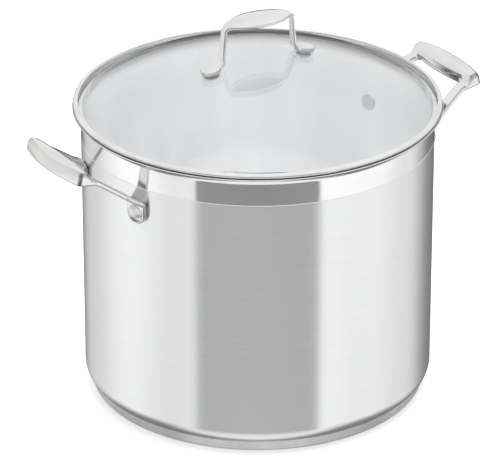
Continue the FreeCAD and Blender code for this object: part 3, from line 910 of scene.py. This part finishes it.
def makeRivets():
    # domed head on the lug, shank, flattened tail inside, turned about a line out of the wall
    seat = pot["radius"] + grip["lugThick"]
    inside = pot["radius"] - pot["sheet"]
    domeR = (rivet["head"] ** 2 + rivet["height"] ** 2) / (2 * rivet["height"])
    reach = math.degrees(math.asin(rivet["head"] / domeR))
    dome = arcPoints((0, seat + rivet["height"] - domeR), domeR, 90, 90 - reach, 16)
    under, tailEnd = seat - 0.25 * mm, inside - rivet["tailHigh"]
    body = roundedOutline([
        tuple(dome[-1]), (rivet["head"], under, 0.1 * mm), (rivet["shank"], under, 0.1 * mm),
        (rivet["shank"], inside, 0.1 * mm), (rivet["tail"], inside, 0.1 * mm),
        (rivet["tail"], tailEnd, 0.6 * mm), (0, tailEnd)], support=0.1 * mm)
    profile = joined(dome, body)
    profile[0, 0] = 0
    places = (("right_rear", grip["rivetTurn"]), ("right_front", -grip["rivetTurn"]),
              ("left_front", math.pi + grip["rivetTurn"]), ("left_rear", math.pi - grip["rivetTurn"]))
    for name, angle in places:
        def place(grid, angle=angle):
            across, up, out = grid[..., 0], grid[..., 1], grid[..., 2]
            return np.stack([out * math.cos(angle) - across * math.sin(angle),
                             out * math.sin(angle) + across * math.cos(angle), up + grip["rivetZ"]], -1)
        words = "".join(word.capitalize() for word in name.split("_"))
        piece = lathe("rivet" + words, profile, 48, place=place)
        fit(piece, "pot", "rivet_steel", ["rivet_" + name], rivetSteel)


makeSideHandles()
makeRivets()
print("side handles and rivets placed")


# studio

studio = dict(
    facing=math.atan2(-0.7645, -0.4777),   # the direction from the pot towards the camera
    front=0.335,             # grey panel in front of the pot
    frontHalf=40.5,          # half of its width, in degrees
    frontSoft=1.5,
    left=(0.98, 0.22, -0.44),    # light at the left: near the panel, then its two changes outwards
    right=(1.18, -0.26, -0.66),
    around=1.0,              # above the light panels
    aroundFrom=(-0.26, -0.08),
    rear=0.13,               # dark strip behind, which draws the outlines
    rearFrom=(142, 170),
    rearTop=(-0.14, 0.12),
    leftTurns=((52, 86), (92, 138)),    # where those two changes run, in degrees from the front
    rightTurns=((78, 114), (114, 148)),
    sky=1.10,
    skyFrom=(0.5, 0.8),
    under=(1.05, 0.22),      # low down in front, and low down elsewhere
    underFrom=(0.52, 0.68),
    underSide=(45, 80),
    warmFrom=(125, 165),     # a slightly warm tone at the right rear
    lampPlace=(0.4, 0.3, 3.0),
    lampSize=2.5,
    lampPower=110,
    floorHalf=6.0,
    floorShade=(0.5, 0.5, 0.5, 1),
    floorRoughness=0.7,
    floorGlow=0.5,
    cameraPlace=(-1.3453, -2.1422, 1.3305),
    cameraAim=(0.4777, 0.7645, -0.4327),
    lens=271.15,
)


def makeWorld():
    # pale room in reflections: a grey panel in front, light panels at both sides that fade
    # towards the rear, most of all at the right, a dark strip behind, an even room above them,
    # and low down light in front and dark elsewhere
    world = bpy.data.worlds.new("studio")
    scene.world = world
    world.use_nodes = True
    shader = Shader(world.node_tree)
    direction = shader.node("ShaderNodeTexCoord", output=0)
    turned = shader.node("ShaderNodeMapping", Vector=direction, Rotation=(0, 0, -studio["facing"]))
    x, y, z = (shader.node("ShaderNodeSeparateXYZ", output=index, Vector=turned) for index in range(3))
    angle = y.maths("ARCTAN2", x).maths("ABSOLUTE") * (180 / math.pi)
    near, rise, fall = studio["left"]
    left = near + angle.between(*studio["leftTurns"][0]) * rise
    left = left + angle.between(*studio["leftTurns"][1]) * fall
    near, dip, fall = studio["right"]
    right = near + angle.between(*studio["rightTurns"][0]) * dip
    right = right + angle.between(*studio["rightTurns"][1]) * fall
    side = y.between(-0.02, 0.02)
    level = left + side * (right - left)
    half, soft = studio["frontHalf"], studio["frontSoft"]
    panel = 1 - angle.between(half - soft, half + soft)
    level = level + panel * (studio["front"] - level)
    level = level + z.between(*studio["aroundFrom"]) * (studio["around"] - level)
    behind = angle.between(*studio["rearFrom"]) * (1 - z.between(*studio["rearTop"]))
    level = level + behind * (studio["rear"] - level)
    level = level + z.between(*studio["skyFrom"]) * (studio["sky"] - level)
    low, away = studio["under"]
    low = low + angle.between(*studio["underSide"]) * (away - low)
    level = level + (0 - z).between(*studio["underFrom"]) * (low - level)
    shown = shader.node("ShaderNodeLightPath", output=0)
    light = level + shown * (1 - level)
    warmth = side * angle.between(*studio["warmFrom"]) * (1 - shown) * (1 - z.between(0.0, 0.22))
    colour = shader.node("ShaderNodeCombineColor", Red=light, Green=light * (1 - warmth * 0.01),
                         Blue=light * (1 - warmth * 0.035))
    background = shader.node("ShaderNodeBackground", Color=colour, Strength=1.0)
    output = shader.tree.nodes.new("ShaderNodeOutputWorld")
    shader.tree.links.new(background.socket, output.inputs["Surface"])


def makeFloor():
    mesh = bpy.data.meshes.new("floor")
    corners = np.array([(-1, -1, 0), (1, -1, 0), (1, 1, 0), (-1, 1, 0)]) * studio["floorHalf"]
    mesh.from_pydata(corners.tolist(), [], [(0, 1, 2, 3)])
    floor = bpy.data.objects.new("floor", mesh)
    scene.collection.objects.link(floor)
    material, shader = newMaterial("paleFloor")
    finishSurface(shader, Base_Color=studio["floorShade"], Roughness=studio["floorRoughness"],
                  Emission_Color=(1, 1, 1, 1), Emission_Strength=studio["floorGlow"])
    mesh.materials.append(material)
    floor.visible_glossy = False


def addLamp(name, place, aim, size, power):
    light = bpy.data.lights.new(name, "AREA")
    light.shape = "DISK"
    light.size = size
    light.energy = power
    lamp = bpy.data.objects.new(name, light)
    scene.collection.objects.link(lamp)
    lamp.location = place
    direction = np.array(aim, float) - np.array(place, float)
    lamp.rotation_euler = towardsAim(direction)
    lamp.visible_glossy = False
    lamp.visible_camera = False


def towardsAim(direction):
    return Vector(direction).to_track_quat("-Z", "Y").to_euler()


def makeCamera():
    view = bpy.data.cameras.new("camera")
    view.sensor_width = 36
    view.lens = studio["lens"]
    view.clip_end = 50
    camera = bpy.data.objects.new("camera", view)
    scene.collection.objects.link(camera)
    camera.location = studio["cameraPlace"]
    camera.rotation_euler = towardsAim(studio["cameraAim"])
    scene.camera = camera


makeWorld()
makeFloor()
addLamp("overhead", studio["lampPlace"], (0, 0, 0), studio["lampSize"], studio["lampPower"])
makeCamera()
scene.view_settings.view_transform = "Standard"
print("studio ready")
